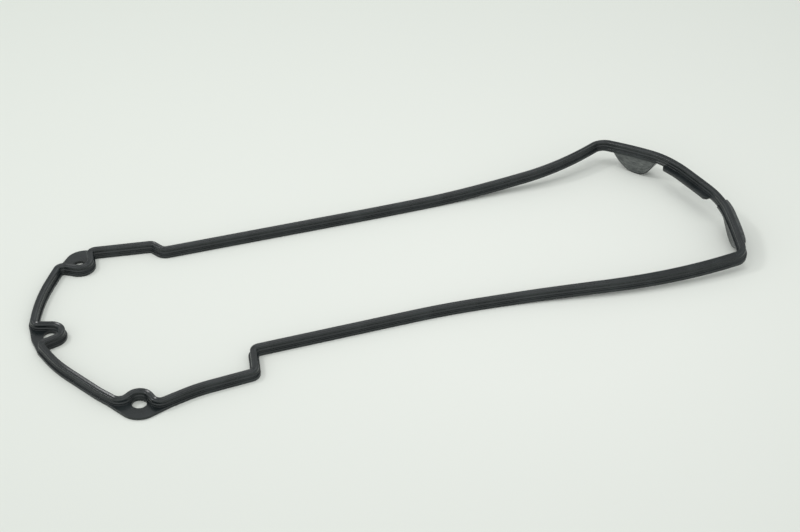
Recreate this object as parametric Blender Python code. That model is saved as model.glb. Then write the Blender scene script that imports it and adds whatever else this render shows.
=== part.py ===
# Valve cover gasket: one moulded rubber loop, lying as it rests on a flat surface.
# Metres, +Z up. +X runs along the rails to the rear end, +Y is the far rail's side.
# The front lies flat. The rear end stands on its two half-moon plugs, which lift it.

import math

import bpy
import numpy as np

# Section of the moulding: a wide flat flange with a narrower grooved bead on it
FLANGE_WIDTH = 0.0078
FLANGE_HEIGHT = 0.0024
BEAD_WIDTH = 0.0052
BEAD_HEIGHT = 0.0056        # above the flange
GROOVE_DEPTH = 0.0005       # groove along each side of the bead
GROOVE_HEIGHT = 0.0029      # above the flange
GROOVE_WIDTH = 0.0016
CREST_INSET = 0.0006        # rounding of the bead's upper edges
VALLEY_DEPTH = 0.0003       # shallow valley between the two upper lips

# Plan of the loop's centreline, seen from above
FAR_RAIL_Y = 0.0743
FAR_WAIST_Y = 0.0729
NEAR_RAIL_Y = -0.0721
NEAR_WAIST_Y = -0.0695
FAR_STEP_X = -0.1765
FAR_STEP_OUT = 0.0112
FAR_STEP_SLANT = 0.0063
NEAR_STEP_X = -0.1425
NEAR_STEP_OUT = 0.0278
NEAR_STEP_SLANT = 0.0056
FAR_FLARE = (0.1701, 0.0741)
FAR_REAR_CORNER = (0.2126, 0.0938)
REAR_FAR_BEND = (0.2493, 0.0462)
REAR_MIDDLE_BEND = (0.2572, 0.0248)
REAR_NEAR_BEND = (0.2698, -0.0268)
NEAR_REAR_CORNER = (0.2602, -0.0895)
NEAR_FLARE = (0.1950, -0.0956)
NEAR_FRONT_BEND = (-0.1948, -0.1038)
FRONT_NEAR_BEND = (-0.2642, -0.0855)
FRONT_LOWER_BEND = (-0.2872, -0.0434)
FRONT_UPPER_BEND = (-0.2848, 0.0418)
FAR_WAIST_X = -0.0010
NEAR_WAIST_X = 0.0427

# Bend radii of the centreline; the steps' one is given at the flange's edge
FAR_FLARE_RADIUS = 0.1650
FAR_REAR_RADIUS = 0.0106
REAR_BEND_RADIUS = 0.0880
NEAR_REAR_RADIUS = 0.0088
NEAR_FLARE_RADIUS = 0.4300
FAR_WAIST_RADIUS = 0.9000
NEAR_WAIST_RADIUS = 0.6300
FRONT_BEND_RADIUS = 0.1200
FRONT_UPPER_RADIUS = 0.2000
STEP_INNER_RADIUS = 0.0018

# Bolt eyelets: the bead arches inward round each hole, and a flat pad fills it
HOLE_RADIUS = 0.00565
HOLE_WALL = 0.00060         # flange left between the hole and the bead
PAD_MARGIN = 0.0104         # pad outside the hole, towards the outer edge
PAD_ROOT = 0.0035           # where the pad's outline starts, inside the flange's edge
PAD_LEAD = 0.0080           # and how far along the rail from the bend
# apex: where the rails beside the eyelet would meet; inner radii of the bends before and after it
FAR_EYELET = dict(apex=(-0.2505, 0.0951), hole=(-0.2436, 0.0806), pad_shift=(0.0048, 0.0034),
                  bends=(0.0014, 0.0020))
NOSE_EYELET = dict(apex=(-0.2991, -0.0012), hole=(-0.2842, -0.0027), pad_shift=(0.0010, 0.0),
                   bends=(0.0011, 0.0011))
NEAR_EYELET = dict(apex=(-0.2432, -0.1171), hole=(-0.2386, -0.1041), pad_shift=(0.0, -0.0008),
                   bends=(0.0034, 0.0024))

# Half-moon plugs that hang below the rear end. low_y: where the plug is deepest.
# reach: how far it runs from there towards the near and the far side, with the power of its curve.
PLUG_OUTER = 0.0066         # outer face, from the bead's centreline
FAR_PLUG = dict(low_y=0.0632, depth=0.0160, inner=0.0032, reach=(0.0155, 0.0235), power=(3.6, 2.2))
NEAR_PLUG = dict(low_y=-0.0556, depth=0.0142, inner=0.0010, reach=(0.0230, 0.0256), power=(2.0, 2.0))

# Flat tab on the inner side of the rear end, between the plugs
TAB_Y = 0.0126
TAB_LENGTH = 0.0578
TAB_REACH = 0.0044          # beyond the flange
TAB_CHAMFER = 0.0024

# Where the tab ends, the flange's inner edge is cut back up to the plugs
NOTCH_LEDGE = 0.0003        # flange left beside the bead
NOTCH_SHARE = 0.92          # of the gap between tab and plug

# How the rear end rises from the surface on its plugs
LIFT_START_X = 0.0400
LIFT_AXIS_Y = 0.0150        # highest line across the rear end
LIFT_SPAN = 0.0950          # half width at which the droop is counted
LIFT_DROOP = 0.45           # share lost there

# Fineness of the faceted solid
BEND_STEP = math.radians(15.0)
LONG_STEP = 0.0130
HOLE_SIDES = 32
PLUG_SIDES = 18

RUBBER_COLOUR = (0.042, 0.044, 0.046, 1.0)
RUBBER_ROUGHNESS = 0.55


def clear_scene():
    for old in list(bpy.data.objects):
        bpy.data.objects.remove(old, do_unlink=True)


def unit(vector):
    return vector / np.linalg.norm(vector)


def left_of(direction):
    return np.array([-direction[1], direction[0]])


def arc(centre, start, end, turn_sign):
    """Points from start to end about the centre, turning left for +1 and right for -1."""
    first = math.atan2(*(start - centre)[::-1])
    last = math.atan2(*(end - centre)[::-1])
    sweep = (last - first) % (2 * math.pi)
    if turn_sign < 0:
        sweep -= 2 * math.pi
    radius = np.linalg.norm(start - centre)
    pieces = max(1, math.ceil(abs(sweep) / BEND_STEP), math.ceil(abs(sweep) * radius / LONG_STEP))
    angles = first + sweep * np.arange(pieces + 1) / pieces
    return centre + radius * np.column_stack([np.cos(angles), np.sin(angles)])


def bend(before, corner, after, radius):
    """The fillet of a plain corner."""
    to_before, to_after = before - corner, after - corner
    half_angle = math.acos(np.clip(unit(to_before) @ unit(to_after), -1.0, 1.0)) / 2
    tangent = radius / math.tan(half_angle)
    start = corner + unit(to_before) * tangent
    end = corner + unit(to_after) * tangent
    depth = tangent / math.cos(half_angle)
    centre = corner + unit(unit(to_before) + unit(to_after)) * depth
    turn_sign = np.sign(np.cross(corner - before, after - corner))
    return arc(centre, start, end, turn_sign)


def arch_radius():
    return HOLE_RADIUS + HOLE_WALL + BEAD_WIDTH / 2


def eyelet_route(before, eyelet, after):
    """Rail, bend, leg square to the rail, arch round the hole, leg, bend, rail."""
    hole, apex = np.array(eyelet["hole"]), np.array(eyelet["apex"])
    sides = []
    for along, inner_radius in ((unit(before - apex), eyelet["bends"][0]), (unit(after - apex), eyelet["bends"][1])):
        inward = hole - apex - along * ((hole - apex) @ along)
        touch = hole + along * arch_radius()
        corner = touch - inward
        radius = inner_radius + FLANGE_WIDTH / 2
        centre = corner + (along + unit(inward)) * radius
        sides.append((centre, corner + along * radius, corner + unit(inward) * radius, touch))
    (centre_in, foot_in, turned_in, touch_in), (centre_out, foot_out, turned_out, touch_out) = sides
    return np.vstack([arc(centre_in, foot_in, turned_in, 1),
                      arc(hole, touch_in, touch_out, -1),
                      arc(centre_out, turned_out, foot_out, 1)])


def outline():
    """The corners of the centreline, counter-clockwise from the far rear corner."""
    step_radius = STEP_INNER_RADIUS + FLANGE_WIDTH / 2
    far_step_end = (FAR_STEP_X - FAR_STEP_SLANT, FAR_RAIL_Y + FAR_STEP_OUT)
    near_step_end = (NEAR_STEP_X - NEAR_STEP_SLANT, NEAR_RAIL_Y - NEAR_STEP_OUT)
    return [
        (FAR_REAR_CORNER, FAR_REAR_RADIUS),
        (FAR_FLARE, FAR_FLARE_RADIUS),
        ((FAR_WAIST_X, FAR_WAIST_Y), FAR_WAIST_RADIUS),
        ((FAR_STEP_X, FAR_RAIL_Y), step_radius),
        (far_step_end, step_radius),
        (FAR_EYELET["apex"], FAR_EYELET),
        (FRONT_UPPER_BEND, FRONT_UPPER_RADIUS),
        (NOSE_EYELET["apex"], NOSE_EYELET),
        (FRONT_LOWER_BEND, FRONT_BEND_RADIUS),
        (FRONT_NEAR_BEND, FRONT_BEND_RADIUS),
        (NEAR_EYELET["apex"], NEAR_EYELET),
        (NEAR_FRONT_BEND, FRONT_BEND_RADIUS),
        (near_step_end, step_radius),
        ((NEAR_STEP_X, NEAR_RAIL_Y), step_radius),
        ((NEAR_WAIST_X, NEAR_WAIST_Y), NEAR_WAIST_RADIUS),
        (NEAR_FLARE, NEAR_FLARE_RADIUS),
        (NEAR_REAR_CORNER, NEAR_REAR_RADIUS),
        (REAR_NEAR_BEND, REAR_BEND_RADIUS),
        (REAR_MIDDLE_BEND, REAR_BEND_RADIUS),
        (REAR_FAR_BEND, REAR_BEND_RADIUS),
    ]


def centreline():
    """The whole loop as one closed row of points, and the stretch of each eyelet."""
    corners = outline()
    points = []
    eyelets = []
    for index, (corner, detail) in enumerate(corners):
        before = np.array(corners[index - 1][0])
        after = np.array(corners[(index + 1) % len(corners)][0])
        if isinstance(detail, dict):
            route = eyelet_route(before, detail, after)
            eyelets.append((detail, route))
        else:
            route = bend(before, np.array(corner), after, detail)
        if points:
            run = route[0] - points[-1][-1]
            pieces = max(1, math.ceil(np.linalg.norm(run) / (2 * LONG_STEP)))
            points.append(points[-1][-1] + run * np.arange(1, pieces)[:, None] / pieces)
        points.append(route)
    return np.vstack([row for row in points if len(row)]), eyelets


def side_normals(path):
    """The horizontal direction to the left of the path, at each point of a closed loop."""
    run = np.roll(path, -1, axis=0) - path
    run /= np.linalg.norm(run, axis=1)[:, None]
    along = run + np.roll(run, 1, axis=0)
    along /= np.linalg.norm(along, axis=1)[:, None]
    return np.column_stack([-along[:, 1], along[:, 0]])


def section():
    """The moulding's section as (across, up), anticlockwise, symmetric about the middle."""
    flange, bead = FLANGE_WIDTH / 2, BEAD_WIDTH / 2
    top = FLANGE_HEIGHT + BEAD_HEIGHT
    half = [
        (flange, 0.0),
        (flange, FLANGE_HEIGHT),
        (bead, FLANGE_HEIGHT),
        (bead, FLANGE_HEIGHT + GROOVE_HEIGHT - GROOVE_WIDTH / 2),
        (bead - GROOVE_DEPTH, FLANGE_HEIGHT + GROOVE_HEIGHT),
        (bead, FLANGE_HEIGHT + GROOVE_HEIGHT + GROOVE_WIDTH / 2),
        (bead, top - CREST_INSET),
        (bead - CREST_INSET, top),
    ]
    valley = [(0.0, top - VALLEY_DEPTH)]
    return np.array(half + valley + [(-across, up) for across, up in reversed(half)])


def mesh_object(name, points, faces):
    mesh = bpy.data.meshes.new(name)
    mesh.from_pydata([tuple(point) for point in points], [], faces)
    mesh.validate()
    made = bpy.data.objects.new(name, mesh)
    bpy.context.collection.objects.link(made)
    return made


def sweep_loop(name, path, profile):
    """Carries the section along the closed path, upright everywhere."""
    normals = side_normals(path)
    count, width = len(path), len(profile)
    flat = path[:, None, :] - normals[:, None, :] * profile[None, :, 0, None]
    up = np.broadcast_to(profile[None, :, 1, None], (count, width, 1))
    points = np.concatenate([flat, up], axis=2).reshape(-1, 3)
    faces = []
    for ring in range(count):
        here, there = ring * width, (ring + 1) % count * width
        for corner in range(width):
            other = (corner + 1) % width
            faces.append((here + corner, here + other, there + other, there + corner))
    return mesh_object(name, points, faces)


def prism(name, plan, low, high):
    """A flat piece with the plan given counter-clockwise."""
    count = len(plan)
    bottom = np.column_stack([plan, np.full(count, low)])
    top = np.column_stack([plan, np.full(count, high)])
    faces = [tuple(reversed(range(count))), tuple(range(count, 2 * count))]
    for corner in range(count):
        other = (corner + 1) % count
        faces.append((corner, other, count + other, count + corner))
    return mesh_object(name, np.vstack([bottom, top]), faces)


def circle(centre, radius, sides):
    angles = 2 * math.pi * np.arange(sides) / sides
    return np.array(centre) + radius * np.column_stack([np.cos(angles), np.sin(angles)])


def outer_hull(points):
    """The convex outline of some points, counter-clockwise."""
    ordered = sorted(map(tuple, points))
    chains = []
    for row in (ordered, ordered[::-1]):
        chain = []
        for point in row:
            while len(chain) > 1 and np.cross(np.subtract(chain[-1], chain[-2]),
                                              np.subtract(point, chain[-1])) <= 0:
                chain.pop()
            chain.append(point)
        chains.append(chain[:-1])
    return np.array(chains[0] + chains[1])


def eyelet_pad(name, eyelet, route):
    """The pad from the bead's arch to the outer edge, which runs tight round the bolt circle."""
    outward = unit(np.array(eyelet["apex"]) - np.array(eyelet["hole"]))
    centre = np.array(eyelet["hole"]) + np.array(eyelet["pad_shift"])
    rim = circle(centre, HOLE_RADIUS + PAD_MARGIN, HOLE_SIDES)
    rim = rim[(rim - centre) @ outward > 0]
    apex = np.array(eyelet["apex"])
    first_along, last_along = unit(route[0] - apex), unit(route[-1] - apex)
    first_out = route[0] + first_along * PAD_LEAD + left_of(first_along) * PAD_ROOT
    last_out = route[-1] + last_along * PAD_LEAD - left_of(last_along) * PAD_ROOT
    hull = outer_hull(np.vstack([rim, [first_out, last_out]]))
    start = int(np.argmin(np.linalg.norm(hull - first_out, axis=1)))
    hull = np.roll(hull, -start, axis=0)
    end = int(np.argmin(np.linalg.norm(hull - last_out, axis=1)))
    return prism(name, np.vstack([hull[:end + 1], route[::-1]]), 0.0, FLANGE_HEIGHT)


def rear_run(path):
    """The rear end of the centreline from the near corner to the far one, with its run lengths."""
    rear = path[path[:, 0] > FAR_REAR_CORNER[0]]
    rear = rear[np.argsort(rear[:, 1])]
    steps = np.linalg.norm(np.diff(rear, axis=0), axis=1)
    return rear, np.concatenate([[0.0], np.cumsum(steps)])


def beside_rear(path, runs, offset):
    """Points at given run lengths along the rear end, moved inward by the offset."""
    rear, lengths = rear_run(path)
    ahead = np.column_stack([np.interp(runs + LONG_STEP / 4, lengths, rear[:, axis]) for axis in (0, 1)])
    behind = np.column_stack([np.interp(runs - LONG_STEP / 4, lengths, rear[:, axis]) for axis in (0, 1)])
    inward = np.array([left_of(unit(one - other)) for one, other in zip(ahead, behind)])
    return (ahead + behind) / 2 + inward * offset


def run_at(path, y):
    rear, lengths = rear_run(path)
    return np.interp(y, rear[:, 1], lengths)


def half_moon(name, path, plug):
    """A plug: depth * (1 - |share| ** power) below the flange, with an upright wall all round."""
    share = np.linspace(-1.0, 1.0, PLUG_SIDES + 1)
    reach = np.where(share < 0, *plug["reach"])
    power = np.where(share < 0, *plug["power"])
    runs = run_at(path, plug["low_y"]) + share * reach
    drop = -plug["depth"] * (1 - np.abs(share) ** power)
    up = np.concatenate([drop, np.full(PLUG_SIDES + 1, FLANGE_HEIGHT)])
    points = []
    for offset in (plug["inner"], -PLUG_OUTER):
        flat = beside_rear(path, runs, offset)
        points.append(np.column_stack([np.vstack([flat, flat[::-1]]), up]))
    count = len(up)
    faces = [(corner, corner + 1, count - 2 - corner, count - 1 - corner) for corner in range(PLUG_SIDES)]
    faces += [tuple(count + corner for corner in reversed(face)) for face in faces]
    for corner in range(count):
        other = (corner + 1) % count
        faces.append((other, corner, count + corner, count + other))
    return mesh_object(name, np.vstack(points), faces)


def inner_tab(name, path):
    """The flat tab along the rear end, with chamfered ends."""
    middle = run_at(path, TAB_Y)
    runs = middle + np.linspace(-TAB_LENGTH / 2, TAB_LENGTH / 2, 9)
    edge_runs = np.clip(runs, runs[0] + TAB_CHAMFER, runs[-1] - TAB_CHAMFER)
    reach = FLANGE_WIDTH / 2 + TAB_REACH
    root = beside_rear(path, runs, BEAD_WIDTH / 4)
    edge = beside_rear(path, edge_runs, reach)
    shoulders = beside_rear(path, runs[[0, -1]], reach - TAB_CHAMFER)
    plan = np.vstack([root, shoulders[1:], edge[::-1], shoulders[:1]])
    return prism(name, plan, 0.0, FLANGE_HEIGHT)


def rear_notches(path):
    """Cutters for the flange's inner edge in the two gaps between the tab and the plugs."""
    middle = run_at(path, TAB_Y)
    gaps = []
    for plug, side, reach in ((FAR_PLUG, 1, FAR_PLUG["reach"][0]), (NEAR_PLUG, -1, NEAR_PLUG["reach"][1])):
        tab_end = middle + side * TAB_LENGTH / 2
        plug_end = run_at(path, plug["low_y"]) - side * reach
        gaps.append(sorted([tab_end, tab_end + NOTCH_SHARE * (plug_end - tab_end)]))
    cutters = []
    for index, gap in enumerate(gaps):
        runs = np.linspace(*gap, 5)
        root = beside_rear(path, runs, BEAD_WIDTH / 2 + NOTCH_LEDGE)
        edge = beside_rear(path, runs, FLANGE_WIDTH / 2 + TAB_CHAMFER)
        plan = np.vstack([root, edge[::-1]])
        cutters.append(prism("notch_%d" % index, plan, -FLANGE_HEIGHT, 2 * FLANGE_HEIGHT))
    return cutters


def boolean(target, other, operation):
    cut = target.modifiers.new(operation.title(), "BOOLEAN")
    cut.operation = operation
    cut.object = other
    cut.solver = "EXACT"
    other.hide_render = True
    other.display_type = "WIRE"


def apply_modifiers(target, helpers):
    bpy.context.view_layer.update()
    graph = bpy.context.evaluated_depsgraph_get()
    mesh = bpy.data.meshes.new_from_object(target.evaluated_get(graph))
    target.modifiers.clear()
    target.data = mesh
    for helper in helpers:
        bpy.data.objects.remove(helper, do_unlink=True)


def rise(points):
    """How far each point is up the lifted end: 0 on the flat front, about 1 at the rear."""
    rear_x = REAR_NEAR_BEND[0]
    up = np.clip((points[:, 0] - LIFT_START_X) / (rear_x - LIFT_START_X), 0.0, 1.0)
    slope = up * up * (3 - 2 * up)
    droop = LIFT_DROOP * np.abs((points[:, 1] - LIFT_AXIS_Y) / LIFT_SPAN) ** 3
    return slope * (1 - droop)


def rest_on_surface(target):
    """Lifts the rear end until the plugs just stand on the surface, then centres the part."""
    points = np.array([vertex.co for vertex in target.data.vertices])
    share = rise(points)
    hanging = points[:, 2] < -FLANGE_HEIGHT
    lift = float(np.max(-points[hanging, 2] / share[hanging]))
    points[:, 2] += lift * share
    points[:, :2] -= (points[:, :2].max(axis=0) + points[:, :2].min(axis=0)) / 2
    points[:, 2] -= points[:, 2].min()
    target.data.vertices.foreach_set("co", points.astype(np.float32).ravel())
    target.data.update()


def rubber():
    material = bpy.data.materials.new("black_rubber")
    material.use_nodes = True
    shader = material.node_tree.nodes["Principled BSDF"]
    shader.inputs["Base Color"].default_value = RUBBER_COLOUR
    shader.inputs["Roughness"].default_value = RUBBER_ROUGHNESS
    shader.inputs["Metallic"].default_value = 0.0
    return material


def build():
    clear_scene()
    path, eyelets = centreline()
    gasket = sweep_loop("gasket", path, section())
    helpers = []
    for index, (eyelet, route) in enumerate(eyelets):
        helpers.append(eyelet_pad("pad_%d" % index, eyelet, route))
    helpers.append(inner_tab("tab", path))
    helpers.append(half_moon("far_plug", path, FAR_PLUG))
    helpers.append(half_moon("near_plug", path, NEAR_PLUG))
    for helper in helpers:
        boolean(gasket, helper, "UNION")
    for index, (eyelet, route) in enumerate(eyelets):
        bore = circle(eyelet["hole"], HOLE_RADIUS, HOLE_SIDES)
        hole = prism("hole_%d" % index, bore, -FLANGE_HEIGHT, 2 * FLANGE_HEIGHT)
        boolean(gasket, hole, "DIFFERENCE")
        helpers.append(hole)
    for notch in rear_notches(path):
        boolean(gasket, notch, "DIFFERENCE")
        helpers.append(notch)
    apply_modifiers(gasket, helpers)
    rest_on_surface(gasket)
    gasket.data.materials.clear()
    gasket.data.materials.append(rubber())
    gasket.data.shade_smooth()
    gasket.data.set_sharp_from_angle(angle=math.radians(35.0))


build()
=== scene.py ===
# Valve cover gasket in moulded black rubber, lying on a pale surface.
# Metres, +Z up. +X runs along the rails to the rear end, which stands on its two half-moon plugs.

import math

import bpy
import numpy as np
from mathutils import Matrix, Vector
from mathutils.geometry import delaunay_2d_cdt


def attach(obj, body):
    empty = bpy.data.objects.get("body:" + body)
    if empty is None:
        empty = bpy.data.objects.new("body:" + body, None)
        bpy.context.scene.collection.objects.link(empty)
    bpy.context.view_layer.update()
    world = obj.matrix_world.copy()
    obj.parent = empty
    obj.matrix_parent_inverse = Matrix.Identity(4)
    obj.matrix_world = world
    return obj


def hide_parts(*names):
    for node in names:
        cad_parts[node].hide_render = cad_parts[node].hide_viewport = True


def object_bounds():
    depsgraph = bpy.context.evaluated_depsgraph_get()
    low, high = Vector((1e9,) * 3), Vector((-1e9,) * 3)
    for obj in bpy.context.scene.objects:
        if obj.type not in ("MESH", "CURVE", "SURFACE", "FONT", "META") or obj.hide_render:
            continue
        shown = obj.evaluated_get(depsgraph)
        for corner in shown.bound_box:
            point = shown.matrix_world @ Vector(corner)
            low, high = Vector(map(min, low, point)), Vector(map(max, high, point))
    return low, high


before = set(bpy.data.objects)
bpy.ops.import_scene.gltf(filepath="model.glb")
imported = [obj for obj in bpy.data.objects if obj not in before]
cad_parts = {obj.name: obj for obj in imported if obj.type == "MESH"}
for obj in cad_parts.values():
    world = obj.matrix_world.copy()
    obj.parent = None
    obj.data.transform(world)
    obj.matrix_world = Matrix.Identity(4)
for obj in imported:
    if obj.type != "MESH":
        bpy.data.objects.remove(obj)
cadLow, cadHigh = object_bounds()
print("frame loaded, box %s to %s" % (tuple(cadLow), tuple(cadHigh)))


# small tools

def unit(vector):
    return vector / np.linalg.norm(vector, axis=-1, keepdims=True)


def leftOf(direction):
    return np.stack([-direction[..., 1], direction[..., 0]], axis=-1)


def quads(rows, columns, wrapRows, wrapColumns):
    # the corners of each cell of a grid of points that is counted row by row
    row = np.arange(rows if wrapRows else rows - 1)[:, None]
    column = np.arange(columns if wrapColumns else columns - 1)[None, :]
    nextRow, nextColumn = (row + 1) % rows, (column + 1) % columns
    corners = [row * columns + column, row * columns + nextColumn,
               nextRow * columns + nextColumn, nextRow * columns + column]
    return np.stack(np.broadcast_arrays(*corners), axis=-1).reshape(-1, 4)


def meshPiece(name, points, faces):
    mesh = bpy.data.meshes.new(name)
    mesh.from_pydata(points.reshape(-1, 3).tolist(), [], faces)
    mesh.validate()
    piece = bpy.data.objects.new(name, mesh)
    bpy.context.collection.objects.link(piece)
    return piece


def roundCorners(corners, reach, steps):
    # every corner c gives way to the curve (1-t)^2 a + 2t(1-t) c + t^2 b,
    # with a and b at its reach along both edges
    toBefore = unit(np.roll(corners, 1, axis=0) - corners) * reach[:, None]
    toAfter = unit(np.roll(corners, -1, axis=0) - corners) * reach[:, None]
    t = np.linspace(0, 1, steps)[None, :, None]
    curve = (1 - t) ** 2 * toBefore[:, None] + t ** 2 * toAfter[:, None]
    return (corners[:, None] + curve).reshape(-1, 2)


def filled(start, end, step):
    # points between two ends at even spacing, the ends left out
    pieces = max(1, math.ceil(np.linalg.norm(end - start) / step))
    return start + (end - start) * np.arange(1, pieces)[:, None] / pieces


# the loop: where its centreline runs, seen from above

loop = {
    "bendStep": math.radians(4.0),
    "longStep": 0.0024,
    # apex: where the two rails would meet; padShift: from the hole to the middle of the pad's rim
    # bends: inner radius where each rail turns into the arch
    # lead and root: how far along the rail from the bend, and how far out, the rim's straight parts start
    "farEyelet": {"apex": (-0.2505, 0.0951), "hole": (-0.2436, 0.0806), "padShift": (0.0048, 0.0034),
                  "bends": (0.0014, 0.0020), "lead": 0.0080, "root": 0.0035},
    "noseEyelet": {"apex": (-0.2991, -0.0012), "hole": (-0.2842, -0.0027), "padShift": (0.0010, 0.0),
                   "bends": (0.0011, 0.0011), "lead": 0.0, "root": 0.0039},
    "nearEyelet": {"apex": (-0.2432, -0.1171), "hole": (-0.2386, -0.1041), "padShift": (0.0, -0.0008),
                   "bends": (0.0034, 0.0024), "lead": 0.0080, "root": 0.0035},
    "holeRadius": 0.00565,
    "holeWall": 0.0006,         # plate between a hole and the bead
    # corners counter-clockwise from the far rear one, each with its bend radius or its eyelet
    "corners": [
        ((0.2126, 0.0938), 0.0106),
        ((0.1701, 0.0741), 0.1650),
        ((-0.0010, 0.0729), 0.9000),
        ((-0.1765, 0.0743), 0.0057),
        ((-0.1828, 0.0855), 0.0057),
        ((-0.2505, 0.0951), "farEyelet"),
        ((-0.2848, 0.0418), 0.2000),
        ((-0.2991, -0.0012), "noseEyelet"),
        ((-0.2872, -0.0434), 0.1200),
        ((-0.2642, -0.0855), 0.1200),
        ((-0.2432, -0.1171), "nearEyelet"),
        ((-0.1948, -0.1038), 0.1200),
        ((-0.1481, -0.0999), 0.0057),
        ((-0.1425, -0.0721), 0.0057),
        ((0.0427, -0.0695), 0.6300),
        ((0.1950, -0.0956), 0.4300),
        ((0.2602, -0.0895), 0.0088),
        ((0.2698, -0.0268), 0.0880),
        ((0.2572, 0.0248), 0.0880),
        ((0.2493, 0.0462), 0.0880),
    ],
}

bead = {
    "width": 0.0052,
    # right half of the section from the bottom up: across, up, reach of its rounding
    "half": [
        (0.00305, 0.00225, 0.00006),
        (0.00272, 0.00250, 0.00014),
        (0.00256, 0.00330, 0.00020),
        (0.00284, 0.00385, 0.00024),
        (0.00258, 0.00440, 0.00020),
        (0.00214, 0.00480, 0.00026),
        (0.00214, 0.00560, 0.00026),
        (0.00260, 0.00610, 0.00022),
        (0.00260, 0.00735, 0.00030),
        (0.00205, 0.00800, 0.00030),
        (0.00150, 0.00795, 0.00030),
    ],
    "valley": (0.0, 0.00705, 0.00050),
    "roundingSteps": 3,
}

plate = {
    "width": 0.0078,
    "height": 0.0024,
    "rounding": 0.00025,
    "flat": 0.00008,            # level strip inside the rounding
    "roundingSteps": 5,
}


def arc(centre, start, end, sign):
    # points on the circle from start to end, turning left for +1 and right for -1
    first = math.atan2(*(start - centre)[::-1])
    sweep = (math.atan2(*(end - centre)[::-1]) - first) % (2 * math.pi)
    if sign < 0:
        sweep -= 2 * math.pi
    radius = np.linalg.norm(start - centre)
    pieces = max(2, math.ceil(abs(sweep) / loop["bendStep"]),
                 math.ceil(abs(sweep) * radius / loop["longStep"]))
    angles = first + sweep * np.arange(pieces + 1) / pieces
    return centre + radius * np.column_stack([np.cos(angles), np.sin(angles)])


def bend(before, corner, after, radius):
    # the circle that touches both runs, its centre on the line that halves their angle
    toBefore, toAfter = unit(before - corner), unit(after - corner)
    half = math.acos(np.clip(toBefore @ toAfter, -1.0, 1.0)) / 2
    tangent = radius / math.tan(half)
    centre = corner + unit(toBefore + toAfter) * tangent / math.cos(half)
    return arc(centre, corner + toBefore * tangent, corner + toAfter * tangent,
               np.sign(np.cross(corner - before, after - corner)))


def archRadius():
    return loop["holeRadius"] + loop["holeWall"] + bead["width"] / 2


def eyeletRoute(before, eyelet, after):
    # rail, bend, leg square to the rail, arch round the hole, and the same back to the next rail
    hole, apex = np.array(eyelet["hole"]), np.array(eyelet["apex"])
    sides = []
    for neighbour, inner in zip((before, after), eyelet["bends"]):
        along = unit(neighbour - apex)
        inward = hole - apex - along * ((hole - apex) @ along)
        touch = hole + along * archRadius()
        corner = touch - inward
        radius = inner + plate["width"] / 2
        centre = corner + (along + unit(inward)) * radius
        sides.append((centre, corner + along * radius, corner + unit(inward) * radius, touch))
    (centreIn, footIn, turnedIn, touchIn), (centreOut, footOut, turnedOut, touchOut) = sides
    return np.vstack([arc(centreIn, footIn, turnedIn, 1), filled(turnedIn, touchIn, loop["longStep"]),
                      arc(hole, touchIn, touchOut, -1), filled(touchOut, turnedOut, loop["longStep"]),
                      arc(centreOut, turnedOut, footOut, 1)])


def centreline():
    corners = loop["corners"]
    rows, eyelets = [], []
    for index, (corner, detail) in enumerate(corners):
        before = np.array(corners[index - 1][0])
        after = np.array(corners[(index + 1) % len(corners)][0])
        if isinstance(detail, str):
            route = eyeletRoute(before, loop[detail], after)
            eyelets.append((loop[detail], route))
        else:
            route = bend(before, np.array(corner), after, detail)
        if rows:
            rows.append(filled(rows[-1][-1], route[0], loop["longStep"]))
        rows = [row for row in rows if len(row)] + [route]
    rows.append(filled(rows[-1][-1], rows[0][0], loop["longStep"]))
    return np.vstack(rows), eyelets


def makeTrack(points):
    # the centreline with its inward direction and its run length at every point,
    # and the first point once more at the end
    runs = unit(np.roll(points, -1, axis=0) - points)
    inward = leftOf(unit(runs + np.roll(runs, 1, axis=0)))
    closed = np.vstack([points, points[:1]])
    lengths = np.concatenate([[0.0], np.cumsum(np.linalg.norm(np.diff(closed, axis=0), axis=1))])
    return {"points": closed, "inward": np.vstack([inward, inward[:1]]), "lengths": lengths}


def beside(track, runs, offset):
    # centreline at a run length + inward direction * offset
    runs = runs % track["lengths"][-1]
    place = np.stack([np.interp(runs, track["lengths"], column) for column in track["points"].T], axis=-1)
    inward = np.stack([np.interp(runs, track["lengths"], column) for column in track["inward"].T], axis=-1)
    return place + unit(inward) * np.asarray(offset)[..., None]


def runAt(track, y):
    # the run length at which the rear end passes a given y
    rear = (track["points"][:, 0] > loop["corners"][0][0][0]) & (track["lengths"] > track["lengths"][-1] / 2)
    return np.interp(y, track["points"][rear, 1], track["lengths"][rear])


def beadShell(track):
    # point = centreline + outward direction * across + up, for every section point at every station
    half = np.array(bead["half"])
    corners = np.vstack([half, [bead["valley"]], half[::-1] * (-1, 1, 1)])
    profile = roundCorners(corners[:, :2], corners[:, 2], bead["roundingSteps"])[::-1]
    path, inward = track["points"][:-1], track["inward"][:-1]
    flat = path[:, None] - inward[:, None] * profile[None, :, :1]
    up = np.broadcast_to(profile[None, :, 1:], flat.shape[:2] + (1,))
    points = np.concatenate([flat, up], axis=2).reshape(-1, 3)
    return points, [quads(len(path), len(profile), True, True)], np.zeros((len(points), 3))


# the flat plate: flange, eyelet pads and inner tab in one, with rounded edges and three bolt holes

pad = {
    "margin": 0.0103,           # from a hole's edge to the rim
    "sides": 96,
    "rimStep": 0.0005,
}

tab = {
    "middleY": 0.0126,
    "length": 0.0578,
    "reach": 0.0044,            # beyond the flange
    "chamfer": 0.0024,
    "notchLedge": 0.0003,       # flange left inside the bead at a notch
    "notchShare": 0.92,         # share of the way to the plug that a notch takes
    "notchLead": 0.003,         # plain flange beyond each notch
    "cornerReach": 0.00045,
    "cornerSteps": 5,
    "edgeStep": 0.0010,
    "clear": 0.0005,            # least gap to the next point of the flange
}

nothing = 1e-9                  # a length that counts as none


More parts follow.
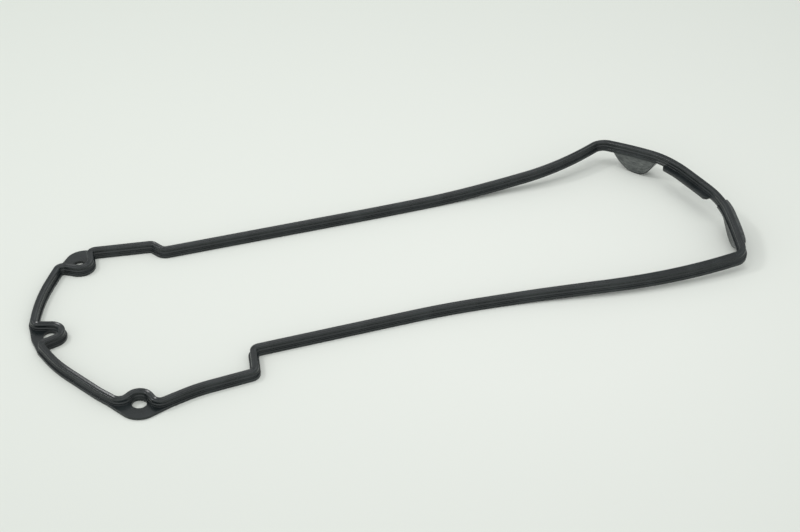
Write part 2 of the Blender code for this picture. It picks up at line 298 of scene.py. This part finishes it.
def touchPoint(centre, radius, point, side):
    # where the line from a point touches a circle
    away = unit(point - centre)
    share = min(1.0, radius / np.linalg.norm(point - centre))
    return centre + radius * (away * share + side * leftOf(away) * math.sqrt(1 - share ** 2))


def eyeletRim(eyelet, route):
    # straight line, arc round the pad's middle, straight line, from inside one rail's edge to the other's
    centre, apex = np.array(eyelet["hole"]) + np.array(eyelet["padShift"]), np.array(eyelet["apex"])
    radius = loop["holeRadius"] + pad["margin"]
    firstAlong, lastAlong = unit(route[0] - apex), unit(route[-1] - apex)
    start = route[0] + firstAlong * eyelet["lead"] + leftOf(firstAlong) * eyelet["root"]
    end = route[-1] + lastAlong * eyelet["lead"] - leftOf(lastAlong) * eyelet["root"]
    touches = touchPoint(centre, radius, start, 1), touchPoint(centre, radius, end, -1)
    angles = [math.atan2(*(touch - centre)[::-1]) for touch in touches]
    angles = np.linspace(angles[0], angles[0] + (angles[1] - angles[0]) % (2 * math.pi), pad["sides"])
    around = centre + radius * np.column_stack([np.cos(angles), np.sin(angles)])
    return np.vstack([[start], filled(start, touches[0], pad["rimStep"]), around,
                      filled(touches[1], end, pad["rimStep"]), [end]])


def distanceTo(track, points):
    # from each point to the nearest spot on the centreline
    start, run = track["points"][:-1], np.diff(track["points"], axis=0)
    away = points[:, None] - start[None]
    share = np.clip(np.sum(away * run[None], axis=2) / np.sum(run * run, axis=1), 0.0, 1.0)
    return np.linalg.norm(away - share[..., None] * run[None], axis=2).min(axis=1)


def outerEdge(track, eyelets):
    # the flange's edge where it shows beside the rims, and each rim where it shows beside the flange
    edge = beside(track, track["lengths"][:-1], -plate["width"] / 2)
    for eyelet, route in reversed(eyelets):
        rim = eyeletRim(eyelet, route)
        sides = np.roll(rim, -1, axis=0) - rim
        away = edge[:, None] - rim[None]
        turned = sides[None, :, 0] * away[..., 1] - sides[None, :, 1] * away[..., 0]
        hidden = np.nonzero(np.all(turned > -nothing, axis=1))[0]
        shown = np.nonzero(distanceTo(track, rim) > plate["width"] / 2)[0]
        edge = np.vstack([edge[:hidden[0]], rim[shown[0]:shown[-1] + 1], edge[hidden[-1] + 1:]])
    return edge


def innerEdge(track):
    # offset from the centreline along the run: the flange, and at the rear the tab between its two notches
    half, reach = plate["width"] / 2, plate["width"] / 2 + tab["reach"]
    ledge = bead["width"] / 2 + tab["notchLedge"]
    nearEnd, farEnd = runAt(track, tab["middleY"]) + np.array([-0.5, 0.5]) * tab["length"]
    nearPlug = runAt(track, plugs["near"]["lowY"]) + plugs["near"]["reach"][1]
    farPlug = runAt(track, plugs["far"]["lowY"]) - plugs["far"]["reach"][0]
    nearNotch = nearEnd - tab["notchShare"] * (nearEnd - nearPlug)
    farNotch = farEnd + tab["notchShare"] * (farPlug - farEnd)
    lead, steps = tab["notchLead"], tab["cornerSteps"]
    corners = np.array([
        (nearNotch - lead, half), (nearNotch, half), (nearNotch, ledge), (nearEnd, ledge),
        (nearEnd, reach - tab["chamfer"]), (nearEnd + tab["chamfer"], reach),
        (farEnd - tab["chamfer"], reach), (farEnd, reach - tab["chamfer"]),
        (farEnd, ledge), (farNotch, ledge), (farNotch, half), (farNotch + lead, half),
    ])
    rounded = roundCorners(corners, np.full(len(corners), tab["cornerReach"]), steps)[steps:-steps]
    rows = [rounded[:1]]
    for start, end in zip(rounded[:-1], rounded[1:]):
        rows += [row for row in (filled(start, end, tab["edgeStep"]), end[None]) if len(row)]
    rear = np.vstack(rows)
    lengths = track["lengths"][:-1]
    before = lengths[lengths < rear[0, 0] - tab["clear"]]
    after = lengths[lengths > rear[-1, 0] + tab["clear"]]
    runs = np.concatenate([before, rear[:, 0], after])
    offsets = np.concatenate([np.full(len(before), half), rear[:, 1], np.full(len(after), half)])
    return beside(track, runs, offsets)


def circle(centre, radius, sides):
    angles = 2 * math.pi * np.arange(sides) / sides
    return np.array(centre) + radius * np.column_stack([np.cos(angles), np.sin(angles)])


def cap(loops):
    # triangles between the outlines, kept where a line from their middle to the right
    # crosses the outlines an odd number of times
    flat = np.vstack(loops)
    starts = np.cumsum([0] + [len(row) for row in loops])
    edges = [(start + corner, start + (corner + 1) % len(row))
             for start, row in zip(starts, loops) for corner in range(len(row))]
    found = delaunay_2d_cdt([Vector(point) for point in flat], edges, [], 2, nothing)
    kept = np.array([own[0] if own else 0 for own in found[3]])
    triangles = kept[np.array(found[2])]
    middle = flat[triangles].mean(axis=1)[:, None]
    start, end = flat, np.vstack([np.roll(row, -1, axis=0) for row in loops])
    passed = (start[:, 1] > middle[..., 1]) != (end[:, 1] > middle[..., 1])
    rise = np.where(start[:, 1] == end[:, 1], 1.0, end[:, 1] - start[:, 1])
    crossing = start[:, 0] + (middle[..., 1] - start[:, 1]) / rise * (end[:, 0] - start[:, 0])
    odd = np.sum(passed & (middle[..., 0] < crossing), axis=1) % 2 == 1
    return triangles[odd]


def plateShell(track, eyelets):
    # rings of every outline, moved into the rubber by rounding * (1 - sin) and up by rounding * (1 - cos)
    # at the lower edge, and the same turned over at the upper one
    outlines = [outerEdge(track, eyelets), innerEdge(track)[::-1]]
    outlines += [circle(eyelet["hole"], loop["holeRadius"], pad["sides"])[::-1] for eyelet, route in eyelets]
    turn = np.linspace(0, math.pi / 2, plate["roundingSteps"])
    radius, level = plate["rounding"], plate["rounding"] + plate["flat"]
    inset = np.concatenate([[level], radius * (1 - np.sin(turn)), radius * (1 - np.cos(turn)), [level]])
    height = np.concatenate([[0.0], radius * (1 - np.cos(turn)),
                             plate["height"] - radius * (1 - np.sin(turn)), [plate["height"]]])
    points, faces, bottoms, tops, count = [], [], [], [], 0
    for outline in outlines:
        sides = unit(np.roll(outline, -1, axis=0) - outline)
        inward = leftOf(unit(sides + np.roll(sides, 1, axis=0)))
        flat = outline[None] + inward[None] * inset[:, None, None]
        up = np.broadcast_to(height[:, None, None], flat.shape[:2] + (1,))
        points.append(np.concatenate([flat, up], axis=2).reshape(-1, 3))
        faces.append(quads(len(height), len(outline), False, True) + count)
        bottoms.append(count + np.arange(len(outline)))
        tops.append(count + (len(height) - 1) * len(outline) + np.arange(len(outline)))
        count += len(points[-1])
    points = np.vstack(points)
    for rows, turned in ((bottoms, -1), (tops, 1)):
        triangles = np.concatenate(rows)[cap([points[row, :2] for row in rows])]
        a, b, c = (points[triangles[:, corner], :2] for corner in range(3))
        wrong = np.cross(b - a, c - a) * turned < 0
        triangles[wrong] = triangles[wrong][:, ::-1]
        faces.append(triangles)
    return points, faces, np.zeros((len(points), 3))


# half-moon plugs below the rear end

plugs = {
    "rounding": 0.0006,
    "roundingSteps": 6,
    "sunk": 0.00002,            # how far its top lies below the plate's, and its inner edge below that
    "sunkInside": 0.00001,
    "rim": (0.0003, 0.0009),    # heights over the rounding where the bare rim, dark as painted contact shade, ends and the talc with painted bounce light is full
    "taperPower": 4,
    "talcOutside": 0.1,
    "talcOnRoof": (0.55, 0.4),  # at the bead's crest, and at the shoulder
    "crest": 0.0019,            # from the centreline out to the roof's high edge
    "shoulder": (0.0003, 0.88), # how far inside the lip the roof ends, and the share of its height there
    "stations": 97,
    # outer: how far the lip stands out at the middle and at the ends of the plug; inner: its inner face
    # reach and power: its length and the shape of its curve, towards the near rail and away from it
    # talcAndPaintedLight: the shares of its length over which the talc and painted bounce light end, and how
    # much of them is left at the top; the near plug's none is painted shade toward its top
    # roof: how high above the plate it rises beside the bead
    "far": {"lowY": 0.0632, "depth": 0.0160, "outer": (0.0066, 0.0049), "inner": 0.0032,
            "reach": (0.0170, 0.0235), "power": (2.3, 2.2), "talcAndPaintedLight": (1.2, 1.4, 1.0), "roof": 0.0},
    "near": {"lowY": -0.0556, "depth": 0.0142, "outer": (0.0055, 0.0046), "inner": 0.0010,
             "reach": (0.0230, 0.0256), "power": (2.0, 2.0), "talcAndPaintedLight": (-0.25, 0.2, 0.0), "roof": 0.0051},
}


def plugSection(plug, top):
    # one closed line: down the outer face, back up the inner face, and over the roof
    # columns: offset from the centreline, height above the top or the bottom edge, how much talc and painted
    # light it has,
    # how far it follows the lip's taper, and 1 where the height is from the top
    turn = np.linspace(0, math.pi / 2, plugs["roundingSteps"])
    radius, outer, inner = plugs["rounding"], -plug["outer"][0], plug["inner"]
    outside, (shadedRimTop, full) = plugs["talcOutside"], plugs["rim"]
    side = [(outer + radius * (1 - math.sin(a)), -radius * (1 - math.cos(a)), outside, 1, 1) for a in turn]
    side += [(outer, -0.5 * top, outside, 1, 1)]
    side += [(outer + radius * (1 - math.cos(a)), radius * (1 - math.sin(a)), 0.0, 1, 0) for a in turn]
    face = [(inner - radius * (1 - math.cos(a)), radius * (1 - math.sin(a)), 0.0, 0, 0) for a in turn[::-1]]
    # painted shade: bare dark rubber at the foot of the inner face stands for contact shade; above it talc
    # with painted light bounced from the floor
    face += [(inner, radius + shadedRimTop, 0.0, 0, 0), (inner, radius + full, 1.0, 0, 0)]
    # at the top the talc and painted light end as given; on the near plug the none there is painted shade
    face += [(inner, -plugs["sunkInside"], plug["talcAndPaintedLight"][2], 0, 1)]
    inset, share = plugs["shoulder"]
    roof = [(-plugs["crest"], plug["roof"], plugs["talcOnRoof"][0], 0.5, 1),
            (outer + inset, share * plug["roof"], plugs["talcOnRoof"][1], 1, 1)]
    return np.array(side + face + roof)


def plugShell(track, plug):
    # the section at every station, its bottom depth * (1 - |share| ^ power) below the plate
    # and its lip drawn in by taper * |share| ^ taperPower, with share from -1 to 1 along the plug
    share = np.linspace(-1.0, 1.0, plugs["stations"])
    reach, power = np.where(share < 0, *plug["reach"]), np.where(share < 0, *plug["power"])
    runs = runAt(track, plug["lowY"]) + share * reach
    drop = (plug["depth"] * (1 - np.abs(share) ** power))[:, None]
    taper = (plug["outer"][0] - plug["outer"][1]) * np.abs(share)[:, None] ** plugs["taperPower"]
    top = plate["height"] - plugs["sunk"]
    across, up, talcAndPaintedLight, lip, fromTop = plugSection(plug, top).T[:, None]
    height = np.where(fromTop == 1, top + up, np.minimum(up, drop + top) - drop)
    flat = beside(track, runs[:, None] + 0 * height, across + taper * lip)
    points = np.concatenate([flat, height[..., None]], axis=2).reshape(-1, 3)
    rows, columns = height.shape
    ends = np.array([np.arange(columns)[::-1], (rows - 1) * columns + np.arange(columns)])
    # amount of talc and painted light, way along the plug, and share of its height, for the streaks
    start, end, _ = plug["talcAndPaintedLight"]
    fading = np.clip((end - share[:, None]) / (end - start), 0.0, 1.0)
    amount = talcAndPaintedLight * np.where(lip == 0, fading, 1.0)
    way, level = (share * reach)[:, None], (height + drop) / (top + drop)
    dust = np.stack(np.broadcast_arrays(amount, way, level), axis=-1)
    return points, [quads(rows, columns, False, True), ends], dust.reshape(-1, 3)


# how the rear end rises from the surface on its plugs

lift = {
    "startX": 0.0400,
    "rearX": 0.2698,
    "axisY": 0.0150,            # highest line across the rear end
    "span": 0.0950,
    "droop": 0.45,              # share lost at the span
    "move": (0.01233, 0.01045), # from the drawing's origin to the middle of the box
}


def restOnSurface(points):
    # rise = u^2 (3 - 2u) * (1 - droop * |across|^3), as high as puts both plugs on the surface,
    # with u from 0 at startX to 1 at rearX, and across from the highest line in spans
    along = np.clip((points[:, 0] - lift["startX"]) / (lift["rearX"] - lift["startX"]), 0.0, 1.0)
    across = np.abs((points[:, 1] - lift["axisY"]) / lift["span"])
    share = along ** 2 * (3 - 2 * along) * (1 - lift["droop"] * across ** 3)
    hanging = points[:, 2] < -plate["height"]
    points[:, 2] += share * np.max(-points[hanging, 2] / share[hanging])
    points[:, :2] += lift["move"]
    points[:, 2] += cadLow[2] - points[:, 2].min()
    return points


sharpAngle = math.radians(40.0)


def joinShells(name, shells):
    # closed shells that overlap a little, as one mesh, with each point's amount of talc and painted light,
    # and streak place, as attribute
    starts = np.cumsum([0] + [len(points) for points, faces, dust in shells])
    faces = []
    for start, (points, grids, dust) in zip(starts, shells):
        for grid in grids:
            faces += (grid + start).tolist()
    piece = meshPiece(name, restOnSurface(np.vstack([points for points, grids, dust in shells])), faces)
    talcAndPaintedLight = np.vstack([dust for points, grids, dust in shells])
    # the dust attribute carries the plugs' talc together with painted bounce light and painted shade
    kept = piece.data.attributes.new("dust", "FLOAT_VECTOR", "POINT")
    kept.data.foreach_set("vector", talcAndPaintedLight.astype(np.float32).ravel())
    piece.data.shade_smooth()
    piece.data.set_sharp_from_angle(angle=sharpAngle)
    return piece


path, eyelets = centreline()
track = makeTrack(path)
gasket = joinShells("gasketRubber", [plateShell(track, eyelets), beadShell(track),
                                     plugShell(track, plugs["far"]), plugShell(track, plugs["near"])])
print("gasket made, %d faces" % len(gasket.data.polygons))


# material nodes

def noise(tree, vector, scale, detail, roughness=0.5):
    node = tree.nodes.new("ShaderNodeTexNoise")
    node.inputs["Scale"].default_value = scale
    node.inputs["Detail"].default_value = detail
    node.inputs["Roughness"].default_value = roughness
    tree.links.new(vector, node.inputs["Vector"])
    return node.outputs["Fac"]


def spread(tree, value, fromRange, toRange=(0.0, 1.0)):
    # from one range of values to another, held at the ends
    node = tree.nodes.new("ShaderNodeMapRange")
    node.inputs["From Min"].default_value, node.inputs["From Max"].default_value = fromRange
    node.inputs["To Min"].default_value, node.inputs["To Max"].default_value = toRange
    tree.links.new(value, node.inputs["Value"])
    return node.outputs["Result"]


def mixed(tree, share, first, second):
    # first * (1 - share) + second * share, where first may be a colour or another node's output
    node = tree.nodes.new("ShaderNodeMix")
    node.data_type = "RGBA"
    tree.links.new(share, node.inputs[0])
    if isinstance(first, tuple):
        node.inputs[6].default_value = first
    else:
        tree.links.new(first, node.inputs[6])
    node.inputs[7].default_value = second
    return node.outputs[2]


# black rubber: satin, a little dusty, with a fine moulded grain

rubber = {
    "colour": (0.0075, 0.0108, 0.0118, 1.0),
    "dust": (0.0190, 0.0240, 0.0252, 1.0),
    # talc colour, which also paints the light bounced from the floor onto the plugs' inner faces
    "talcAndPaintedLightColour": (0.1350, 0.1450, 0.1400, 1.0),
    "roughness": (0.19, 0.36),          # least and most
    "specular": 0.46,
    "mottleScale": 60.0,
    "mottleDetail": 6.0,
    "mottleRange": (0.42, 0.72),
    "streakScale": (0.0, 150.0, 9.0),   # per metre along a plug, and over its height
    "streakDetail": 5.0,
    "streakRoughness": 0.65,
    "streakRange": (0.36, 0.66),
    "streakLeast": 0.20,                # talc left between the streaks
    "grainScale": 900.0,
    "grainDetail": 3.0,
    "grainHeight": 0.00003,
    "grainStrength": 0.6,
}


def rubberMaterial():
    material = bpy.data.materials.new("blackRubber")
    material.use_nodes = True
    tree = material.node_tree
    nodes, links = tree.nodes, tree.links
    shader = nodes["Principled BSDF"]
    shader.inputs["Specular IOR Level"].default_value = rubber["specular"]
    place = nodes.new("ShaderNodeTexCoord").outputs["Object"]
    mottle = noise(tree, place, rubber["mottleScale"], rubber["mottleDetail"])
    colour = mixed(tree, spread(tree, mottle, rubber["mottleRange"]), rubber["colour"], rubber["dust"])
    links.new(spread(tree, mottle, (0.0, 1.0), rubber["roughness"]), shader.inputs["Roughness"])
    # talc left by the mould, streaked along the plugs, with painted light in it: lighter inner faces for
    # light bounced from the floor, a bare dark rim for painted contact shade, and painted shade toward the
    # near plug's top;
    # the attribute holds its amount, the way along, and the share of the height
    talcAndPaintedLight = nodes.new("ShaderNodeAttribute")
    talcAndPaintedLight.attribute_name = "dust"
    parts = nodes.new("ShaderNodeSeparateXYZ")
    links.new(talcAndPaintedLight.outputs["Vector"], parts.inputs[0])
    drawn = nodes.new("ShaderNodeMapping")
    drawn.inputs["Scale"].default_value = rubber["streakScale"]
    links.new(talcAndPaintedLight.outputs["Vector"], drawn.inputs["Vector"])
    streaks = noise(tree, drawn.outputs["Vector"], 1.0, rubber["streakDetail"], rubber["streakRoughness"])
    amount = nodes.new("ShaderNodeMath")
    amount.operation = "MULTIPLY"
    links.new(parts.outputs["X"], amount.inputs[0])
    links.new(spread(tree, streaks, rubber["streakRange"], (rubber["streakLeast"], 1.0)), amount.inputs[1])
    links.new(mixed(tree, amount.outputs[0], colour, rubber["talcAndPaintedLightColour"]), shader.inputs["Base Color"])
    bump = nodes.new("ShaderNodeBump")
    bump.inputs["Distance"].default_value = rubber["grainHeight"]
    bump.inputs["Strength"].default_value = rubber["grainStrength"]
    links.new(noise(tree, place, rubber["grainScale"], rubber["grainDetail"]), bump.inputs["Height"])
    links.new(bump.outputs["Normal"], shader.inputs["Normal"])
    return material


gasket.data.materials.clear()
gasket.data.materials.append(rubberMaterial())
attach(gasket, "root")
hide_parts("gasket")
print("rubber finished")


# pale floor under two softboxes, in a bright room that is brightest in front on the left

studio = {
    "floorSize": 6.0,
    "floorBelow": 0.00005,      # gap that keeps the floor clear of the rubber
    "floorColour": (0.790, 0.810, 0.770, 1.0),
    # painted light: the floor's colour darkens away from a lit middle, as if the light fell off
    "floorShadedEdge": (0.660, 0.690, 0.645, 1.0),
    "floorLitMiddle": (0.10, -0.08, 0.0),
    "floorLightFalloff": (0.10, 0.85),  # distances from its middle at which the painted falloff of light starts and ends
    "floorRoughness": 0.9,
    "floorSpecular": 0.1,
    "room": (0.98, 1.0, 0.99, 1.0),
    "roomLow": 0.70,            # brightness away from the bright side
    "roomHigh": 1.28,           # brightness at its middle
    "brightSide": (-0.45, -0.75, 0.35),
    "brightPower": 2.0,
    "lamps": [                  # place, size and power
        ((-0.86, 0.52, 1.26), 0.22, 4.2),
        ((0.20, 0.20, 1.40), 0.9, 2.6),
    ],
}


def makeFloor():
    # its colour fades with the distance from its middle: painted light, brightest in the middle, with
    # painted shade towards the edges
    size = studio["floorSize"]
    corners = np.array([(-size, -size, 0), (size, -size, 0), (size, size, 0), (-size, size, 0)], float)
    corners[:, 2] = cadLow[2] - studio["floorBelow"]
    floor = meshPiece("floor", corners, [(0, 1, 2, 3)])
    material = bpy.data.materials.new("paleFloor")
    material.use_nodes = True
    tree = material.node_tree
    shader = tree.nodes["Principled BSDF"]
    place = tree.nodes.new("ShaderNodeTexCoord")
    away = tree.nodes.new("ShaderNodeVectorMath")
    away.operation = "DISTANCE"
    away.inputs[1].default_value = studio["floorLitMiddle"]
    tree.links.new(place.outputs["Object"], away.inputs[0])
    lightFalloff = spread(tree, away.outputs["Value"], studio["floorLightFalloff"])
    colour = mixed(tree, lightFalloff, studio["floorColour"], studio["floorShadedEdge"])
    tree.links.new(colour, shader.inputs["Base Color"])
    shader.inputs["Roughness"].default_value = studio["floorRoughness"]
    shader.inputs["Specular IOR Level"].default_value = studio["floorSpecular"]
    floor.data.materials.append(material)
    return floor


def makeRoom():
    # brightness of the room = low + (high - low) * max(0, direction . bright side) ^ brightPower
    world = bpy.data.worlds.new("studio")
    world.use_nodes = True
    tree = world.node_tree
    nodes, links = tree.nodes, tree.links
    background = nodes["Background"]
    background.inputs["Color"].default_value = studio["room"]
    direction = nodes.new("ShaderNodeTexCoord")
    facing = nodes.new("ShaderNodeVectorMath")
    facing.operation = "DOT_PRODUCT"
    facing.inputs[1].default_value = Vector(studio["brightSide"]).normalized()
    links.new(direction.outputs["Generated"], facing.inputs[0])
    above = nodes.new("ShaderNodeMath")
    above.operation = "MAXIMUM"
    above.inputs[1].default_value = 0.0
    links.new(facing.outputs["Value"], above.inputs[0])
    lobe = nodes.new("ShaderNodeMath")
    lobe.operation = "POWER"
    lobe.inputs[1].default_value = studio["brightPower"]
    links.new(above.outputs[0], lobe.inputs[0])
    level = spread(tree, lobe.outputs[0], (0.0, 1.0), (studio["roomLow"], studio["roomHigh"]))
    links.new(level, background.inputs["Strength"])
    bpy.context.scene.world = world


def makeLamps():
    for place, size, power in studio["lamps"]:
        lamp = bpy.data.lights.new("softbox", "AREA")
        lamp.shape = "SQUARE"
        lamp.size = size
        lamp.energy = power
        softbox = bpy.data.objects.new("softbox", lamp)
        softbox.location = place
        softbox.rotation_euler = (-Vector(place)).to_track_quat("-Z", "Y").to_euler()
        bpy.context.collection.objects.link(softbox)


shot = {
    "from": (-0.4481, -1.3421, 1.0380),
    "at": (0.0123, 0.0105, 0.0),
    "lens": 99.0,
    "sensor": 36.0,
}


def makeCamera():
    data = bpy.data.cameras.new("camera")
    data.sensor_width = shot["sensor"]
    data.lens = shot["lens"]
    camera = bpy.data.objects.new("camera", data)
    camera.location = shot["from"]
    towards = Vector(shot["at"]) - Vector(shot["from"])
    camera.rotation_euler = towards.to_track_quat("-Z", "Y").to_euler()
    bpy.context.collection.objects.link(camera)
    bpy.context.scene.camera = camera


makeFloor()
makeRoom()
makeLamps()
makeCamera()
bpy.context.scene.view_settings.view_transform = "Standard"
print("studio set")
